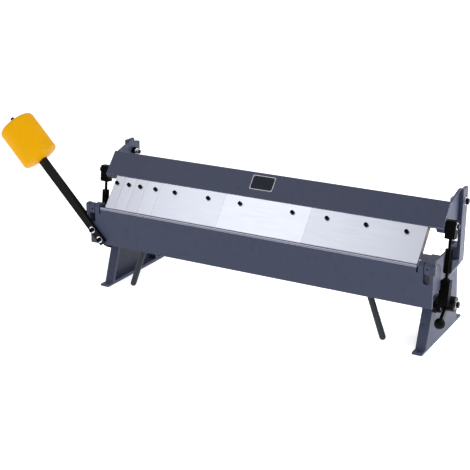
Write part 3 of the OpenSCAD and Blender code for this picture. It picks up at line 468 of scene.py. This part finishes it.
black_oxide = dark_finish("black_oxide_on_screws", BLACK_OXIDE, BLACK_RUBBED, 0.3)
dressed("bed", CASTING_EDGE, cast_paint)
screwed("bed_bolts", lambda length: screw(*BOLT_HEAD, BOLT_SHANK, length), (0, -0.944, 0.331),
        black_oxide)

# The bed bar and the apron's edge bar: flat steel, ground along its length. The bed bar is
# bright. The apron's bar has dulled to a blue-grey on its front, with a bright line at each edge.
GROUND_STEEL = (0.66, 0.67, 0.70)
DULLED_STEEL = (0.19, 0.195, 0.27)
BRIGHT_LINE = (0.80, 0.81, 0.85)


def ground_finish(name, low, high, along, rough, edge=None):
    ground = Finish(name, Metallic=1.0)
    scratch = ground.clouds(300, 5, along)
    patch = ground.clouds(7)
    colour = ground.blend(0.6 * scratch + 0.4 * patch, low, high)
    if edge:
        colour = ground.blend(ground.worn_edge() * 0.85, colour, edge)
    return ground.ends(colour=colour, rough=rough + 0.16 * scratch + 0.08 * patch,
                       relief=scratch, height=0.00004)


pin_steel = ground_finish("ground_pin_steel", (0.05, 0.05, 0.06), (0.16, 0.16, 0.18),
                          (0.2, 1, 1), 0.38)
bed_bar_steel = ground_finish("ground_bar_steel", tuple(c * 0.85 for c in GROUND_STEEL),
                              GROUND_STEEL, (0.03, 1, 1), 0.26)
edge_bar_steel = ground_finish("dulled_bar_steel", tuple(c * 0.8 for c in DULLED_STEEL),
                               tuple(c * 1.25 for c in DULLED_STEEL), (0.03, 1, 1), 0.34,
                               BRIGHT_LINE)
dressed("bed_bar", 0.0006, bed_bar_steel)
dressed("apron_edge_bar", 0.0009, edge_bar_steel)

# The apron's hinges: a painted iron block at each end of the bed grips a ground pin, on which
# the apron's ears turn. One small black set screw in the block's front locks the pin.
SET_SCREW = 0.0035
for node in ("left_hinge_block", "right_hinge_block"):
    dressed(node, 0.0012, cast_paint)
zinc = Finish("bright_zinc", Metallic=1.0)
zinc_cloud = zinc.clouds(60, 4)
bright_zinc = zinc.ends(colour=zinc.blend(zinc_cloud, (0.56, 0.57, 0.60), (0.82, 0.83, 0.85)),
                        rough=0.18 + 0.2 * zinc_cloud, relief=zinc_cloud, height=0.00003)
dressed("hinge_pins", 0.0006, pin_steel)
screwed("hinge_set_screws", lambda length: screw(SET_SCREW, 0, SET_SCREW, length, SET_SCREW / 2),
        (0, 1, 0), black_oxide)

# The apron: a thick steel plate with welded ears, end cheeks and handle sockets, painted as
# the frames are. Its front is smoother than the castings.
dressed("apron", 0.0014, plate_paint)

# The apron's handles: two round gunmetal bars pushed into the sockets behind its lower edge. The
# free end of each is turned to a dome.
HANDLE_LEAN = math.radians(20)
HANDLE_R = 0.011


def turned(node, rings_of, way, finish, around=48, crease=34):
    """A lathe-turned piece on a CAD node's own middle line; rings_of gives its rings for the
    length, starting where the way starts."""
    start, length = span(islands(node)[0], way)
    mesh = lathe(node + "_turned", rings_of(length), around, crease)
    turn = Vector(way).to_track_quat("Z", "Y").to_matrix().to_4x4()
    mesh.transform(Matrix.Translation(start) @ turn)
    mesh.materials.append(finish)
    piece = bpy.data.objects.new(node + "_turned", mesh)
    scene.collection.objects.link(piece)
    return stands_for(piece, node)


def round_bar(radius, length):
    """Rings of a bar with an eased near end and a dome on the far end."""
    dome = [(radius * math.cos(math.radians(10 * step)),
             length - radius * (1 - math.sin(math.radians(10 * step))), False)
            for step in range(9)]
    return [(0, 0, False), (radius - 0.001, 0, False), (radius, 0.001, False)] + dome + [
        (0, length, False)]


bar_black = dark_finish("gunmetal_paint_on_bars", (0.020, 0.023, 0.034), BLACK_RUBBED, 0.34, 60,
                        0.00004, 0.2)
for side, sign in (("left", -1), ("right", 1)):
    turned(side + "_handle", lambda length: round_bar(HANDLE_R, length),
           (sign * math.sin(HANDLE_LEAN), 0, -math.cos(HANDLE_LEAN)), bar_black)

# The counterweight arm: a black steel bar, thinned to a tab where two socket screws and two
# bright washers hold it on the apron. Its end at the weight is painted brown.
ARM_SLOPE = math.radians(46.4)
UP_THE_ARM = (-math.cos(ARM_SLOPE), 0, math.sin(ARM_SLOPE))
ARM_SCREW = (0.008, 0.010, 0.005)
ARM_BROWN = (0.030, 0.014, 0.008)
WEIGHT_FOOT = -0.880

arm = Finish("black_bar_browned", Specular_IOR_Level=0.09)
arm_cloud = arm.clouds(45, 4)
arm_x = arm.add("ShaderNodeSeparateXYZ", {}, {0: arm.place}, out="X")
# The last few centimetres of the arm before the weight are painted brown.
brown_end = arm.band(arm_x + 0.03 * arm_cloud, WEIGHT_FOOT + 0.03, WEIGHT_FOOT)
arm_colour = arm.blend(brown_end, BLACK_OXIDE, ARM_BROWN)
arm_black = arm.ends(colour=arm.blend(0.04 * arm_cloud + 0.3 * arm.worn_edge() * arm_cloud,
                                      arm_colour, BLACK_RUBBED),
                     rough=0.3 + 0.2 * arm_cloud, relief=arm_cloud, height=0.00006)
dressed("counterweight_arm", 0.0012, arm_black, 3)
screwed("arm_bolts", lambda length: screw(*ARM_SCREW, length, 0.0035), (0, 1, 0), black_oxide)
dressed("arm_washers", SCREW_EDGE, bright_zinc)

# The counterweight: a solid steel drum with a shallow cone at its near end and a rounded far
# end, in glossy amber paint over turning marks. A nut on the arm's stud holds it.
WEIGHT_R = 0.071
WEIGHT_NECK = 0.024
WEIGHT_CONE = 0.012
WEIGHT_ROUND = 0.017
AMBER = (0.78, 0.385, 0.0)
AMBER_DEEP = (0.70, 0.33, 0.0)


def drum(length):
    """Rings of the weight from its near end, with the corner of the cone eased."""
    round_end = [(WEIGHT_R - WEIGHT_ROUND * (1 - math.cos(math.radians(9 * step))),
                  length - WEIGHT_ROUND * (1 - math.sin(math.radians(9 * step))), False)
                 for step in range(11)]
    return [(0, 0, False), (WEIGHT_NECK - 0.002, 0, False), (WEIGHT_NECK + 0.001, 0.0008, False),
            (WEIGHT_R - 0.006, WEIGHT_CONE - 0.0016, False),
            (WEIGHT_R - 0.002, WEIGHT_CONE + 0.0004, False),
            (WEIGHT_R, WEIGHT_CONE + 0.004, False)] + round_end + [(0, length, False)]


amber = Finish("amber_gloss_paint", Coat_Weight=0.03, Coat_Roughness=0.12,
               Specular_IOR_Level=0.06)
amber_cloud = amber.clouds(11)
amber_peel = amber.clouds(330, 2)
amber_dust = amber.band(amber.clouds(75, 5), 0.58, 0.75)
amber_paint = amber.ends(
    colour=amber.blend(0.22 * amber_dust, amber.blend(amber_cloud, AMBER_DEEP, AMBER),
                       (0.45, 0.22, 0.02)),
    rough=0.34 + 0.12 * amber_cloud + 0.12 * amber_dust, relief=amber_peel, height=0.00012)
turned("counterweight", drum, UP_THE_ARM, amber_paint, 96, 40)
dressed("weight_nut", 0.0009, black_oxide, 3)

# The clamping beam: a painted front plate between two painted end plates, with a flat bar
# welded behind it. The end plates carry bosses for the link pins and black steel bushes.
for node in ("beam_plate", "beam_stiffener"):
    dressed(node, 0.0012, plate_paint)
for node in ("left_beam_end", "right_beam_end"):
    dressed(node, 0.0014, cast_paint)
dressed("beam_bushes", 0.0006, black_oxide)

# The clamp rail behind the fingers: rolled flat bar, left bare and browned. The finger screws
# run into it.
rail = Finish("bare_rolled_steel", Metallic=0.55)
rail_cloud = rail.clouds(30, 5)
rail_pits = rail.clouds(240, 4)
rail_steel = rail.ends(colour=rail.blend(0.6 * rail_cloud + 0.4 * rail_pits,
                                         (0.10, 0.055, 0.045), (0.34, 0.26, 0.23)),
                       rough=0.42 + 0.25 * rail_cloud, relief=rail_pits, height=0.0002)
dressed("clamp_rail", 0.0008, rail_steel)

# The name plate: a bare aluminium plate with rounded corners and a dark anodised field, held
# to the beam's front plate by four small rivets.
PLATE_CORNER = 0.004
PLATE_RIM = 0.0022
RIVET_IN = 0.0052
RIVET_R = 0.0017
BEAM_SLOPE = math.radians(50)
UP_THE_SLOPE = Vector((0, math.cos(BEAM_SLOPE), math.sin(BEAM_SLOPE)))
OUT_OF_SLOPE = Vector((0, -math.sin(BEAM_SLOPE), math.cos(BEAM_SLOPE)))


def rounded_ring(shape, half_w, half_h, corner, height):
    ring = []
    for quarter in range(4):
        middle_x = (half_w - corner) * (1 if quarter in (0, 3) else -1)
        middle_y = (half_h - corner) * (1 if quarter < 2 else -1)
        for step in range(7):
            turn = math.pi / 2 * (quarter + step / 6)
            ring.append(shape.verts.new((middle_x + corner * math.cos(turn),
                                         middle_y + corner * math.sin(turn), height)))
    return ring


plate_points = islands("name_plate")[0]
plate_base, plate_high = span(plate_points, OUT_OF_SLOPE)
plate_half_w = span(plate_points, (1, 0, 0))[1] / 2
plate_half_h = span(plate_points, UP_THE_SLOPE)[1] / 2
plate_shape = bmesh.new()
plate_rings = [rounded_ring(plate_shape, plate_half_w - inset, plate_half_h - inset,
                            PLATE_CORNER - min(inset, 0.002), height)
               for inset, height in ((0, 0), (0, plate_high * 0.7), (0.0003, plate_high),
                                     (PLATE_RIM, plate_high), (PLATE_RIM + 0.0002,
                                                               plate_high * 0.8))]
field_mark = plate_shape.faces.layers.float.new("field")
for lower, upper in zip(plate_rings, plate_rings[1:]):
    for step in range(len(lower)):
        after = (step + 1) % len(lower)
        plate_shape.faces.new((lower[step], lower[after], upper[after], upper[step]))
plate_shape.faces.new(plate_rings[-1])[field_mark] = 1.0
plate_shape.faces.new(list(reversed(plate_rings[0])))
for sign_x in (-1, 1):
    for sign_y in (-1, 1):
        middle = Vector((sign_x * (plate_half_w - RIVET_IN), sign_y * (plate_half_h - RIVET_IN)))
        rows = [[plate_shape.verts.new((middle.x + r * math.cos(math.pi * step / 8),
                                        middle.y + r * math.sin(math.pi * step / 8),
                                        plate_high * (0.8 + rise))) for step in range(16)]
                for r, rise in ((RIVET_R, 0), (RIVET_R * 0.9, 0.3), (RIVET_R * 0.5, 0.55))]
        for lower, upper in zip(rows, rows[1:]):
            for step in range(16):
                after = (step + 1) % 16
                plate_shape.faces.new((lower[step], lower[after], upper[after], upper[step]))
        plate_shape.faces.new(rows[-1])
plate_mesh = bpy.data.meshes.new("name_plate_made")
plate_shape.to_mesh(plate_mesh)
plate_shape.free()
plate_frame = Matrix((Vector((1, 0, 0)), UP_THE_SLOPE, OUT_OF_SLOPE)).transposed().to_4x4()
plate_mesh.transform(Matrix.Translation(plate_base) @ plate_frame)
alloy = Finish("name_plate_alloy", Metallic=1.0)
alloy_grain = alloy.clouds(900, 3, (0.05, 1, 1))
field = alloy.add("ShaderNodeAttribute", {"attribute_name": "field"}, out="Fac")
alloy_colour = alloy.blend(alloy_grain, (0.24, 0.245, 0.26), (0.36, 0.365, 0.385))
plate_mesh.materials.append(alloy.ends(
    colour=alloy.blend(field, alloy_colour, (0.012, 0.013, 0.018)),
    rough=0.3 + 0.15 * alloy_grain, relief=alloy_grain, height=0.00002))
name_plate = bpy.data.objects.new("name_plate_made", plate_mesh)
scene.collection.objects.link(name_plate)
stands_for(name_plate, "name_plate")

# The beam's pivots: one large black hexagon bolt in each post, on a bright washer, with a
# second washer and a bright nut inside. A small black lock screw sits in the post above it.
PIVOT_HEAD = (0.011, 0.010)
PIVOT_SHANK = 0.008
LOCK_SCREW = 0.004
screwed("beam_pivot_bolts", lambda length: screw(*PIVOT_HEAD, PIVOT_SHANK, length), (-1, 0, 0),
        black_oxide, 0.5, 3)
for node in ("beam_pivot_washers", "beam_pivot_nuts"):
    dressed(node, 0.0006, bright_zinc)
screwed("post_lock_screws", lambda length: screw(LOCK_SCREW, 0, LOCK_SCREW, length,
                                                 LOCK_SCREW * 0.45), (-1, 0, 0), black_oxide)

# The fingers: seven ground steel blades of different widths with a heel block behind each. The
# grinding runs across them, the corners are eased, and no two are quite the same grey.
FINGER_LOW = (0.37, 0.385, 0.445)
FINGER_HIGH = (0.54, 0.555, 0.615)
FINGER_SIDE = (0.05, 0.042, 0.042)
FINGER_DULL = (0.92, 0.96, 0.92, 0.96, 0.94, 1.0, 0.86)

for place, dull in enumerate(FINGER_DULL):
    name = "finger_%d" % (place + 1)
    blade = Finish("ground_" + name, Metallic=1.0)
    lines = blade.clouds(260, 5, (0.05, 1, 1))
    smudge = blade.clouds(9, 4)
    facing = blade.add("ShaderNodeNewGeometry", {}, out="Normal")
    sideways = blade.add("ShaderNodeSeparateXYZ", {}, {0: facing}, out="X")
    sideways = blade.add("ShaderNodeMath", {"operation": "ABSOLUTE"}, {0: sideways})
    face_colour = blade.blend(0.5 * lines + 0.5 * smudge, tuple(c * dull for c in FINGER_LOW),
                              tuple(c * dull for c in FINGER_HIGH))
    blade_colour = blade.blend(blade.band(sideways, 0.8, 0.95), face_colour, FINGER_SIDE)
    dressed(name, 0.0005, blade.ends(
        colour=blade.blend(0.5 * blade.worn_edge(), blade_colour, FINGER_HIGH),
        rough=0.27 + 0.14 * lines + 0.08 * smudge, relief=lines, height=0.00003))

# The finger screws: black socket screws, one in each narrow finger and two or three in each
# wide one, run through the blades into the clamp rail.
FINGER_SCREW = (0.007, 0.008, 0.004)
screwed("finger_screws", lambda length: screw(*FINGER_SCREW, length, 0.0035), -OUT_OF_SLOPE,
        black_oxide, 1.0, 11)

# The links: each has a black forged block on the beam's pin, a threaded rod, a long hexagon
# coupler, a second rod with a black jam nut, and a lower block whose tongue takes the lever's
# pin. Turning the coupler sets the clamping pressure.
LINK_LEAN = math.radians(7.176)
DOWN_THE_LINK = (0, -math.sin(LINK_LEAN), -math.cos(LINK_LEAN))
ROD_R = 0.0055
ROD_PITCH = 0.00175


def threaded(length):
    turns = int(length / ROD_PITCH)
    rings = [(0, 0, False), (ROD_R * 0.85, 0, False)]
    for turn in range(turns):
        rings += [(ROD_R, (turn + 0.35) * ROD_PITCH, False),
                  (ROD_R * 0.86, (turn + 0.9) * ROD_PITCH, False)]
    return rings + [(ROD_R * 0.85, length, False), (0, length, False)]


link_black = dark_finish("black_oxide_on_links", BLACK_OXIDE, BLACK_RUBBED, 0.34, 50, 0.00008,
                         0.02)
for side in ("left_", "right_"):
    for node in ("upper_block", "lower_block", "coupler"):
        dressed(side + node, 0.0012, link_black, 3)
    for node in ("upper_rod", "lower_rod"):
        turned(side + node, threaded, DOWN_THE_LINK, black_oxide, 24, 50)
    dressed(side + "jam_nut", 0.0008, black_oxide)
dressed("link_upper_pins", SCREW_EDGE, black_oxide, 3)
dressed("link_pin_washers", SCREW_EDGE, bright_zinc)

# The clamping levers: a black casting with a crank for the link's pin and a flat arm, which
# turns on a black bolt in the side frame's boss and ends in a moulded black ball knob.
BALL_R = 0.019
BALL_FRONT = 0.068
BALL_DOWN = 0.048
LEVER_HEAD = (0.011, 0.008)

lever_black = dark_finish("dark_oiled_casting", (0.004, 0.003, 0.003), BLACK_RUBBED, 0.26,
                          70, 0.0002, 0.07)
moulded = Finish("moulded_black_knob", Specular_IOR_Level=0.05)
moulded_cloud = moulded.clouds(40, 3)
knob_black = moulded.ends(colour=moulded.blend(moulded_cloud, (0.002, 0.002, 0.002),
                                               (0.005, 0.005, 0.006)),
                          rough=0.24 + 0.12 * moulded_cloud, relief=moulded_cloud,
                          height=0.00003)


def ball(length):
    """Rings of a ball knob with a small flat where the arm enters and a fine mould seam."""
    rings = [(0, 0.0006, False)]
    for step in range(1, 36):
        turn = math.radians(5 * step)
        reach = BALL_R - (0.00025 if step == 18 else 0)
        rings.append((reach * math.sin(turn), BALL_R * (1 - math.cos(turn)), False))
    return rings + [(0, 2 * BALL_R, False)]


for side, sign in (("left_", -1), ("right_", 1)):
    dressed(side + "lever", 0.0012, lever_black, 3)
    dressed(side + "lower_pin", SCREW_EDGE, bright_zinc)
    turned(side + "ball", ball, Vector((0, -sign * BALL_FRONT, -BALL_DOWN)).normalized(),
           knob_black, 48, 60)
screwed("lever_pivot_bolts", lambda length: screw(*LEVER_HEAD, PIVOT_SHANK, length), (-1, 0, 0),
        black_oxide, 0.5, 5)
dressed("lever_pivot_washers", SCREW_EDGE, bright_zinc)
dressed("lever_pivot_nuts", 0.0008, black_oxide)
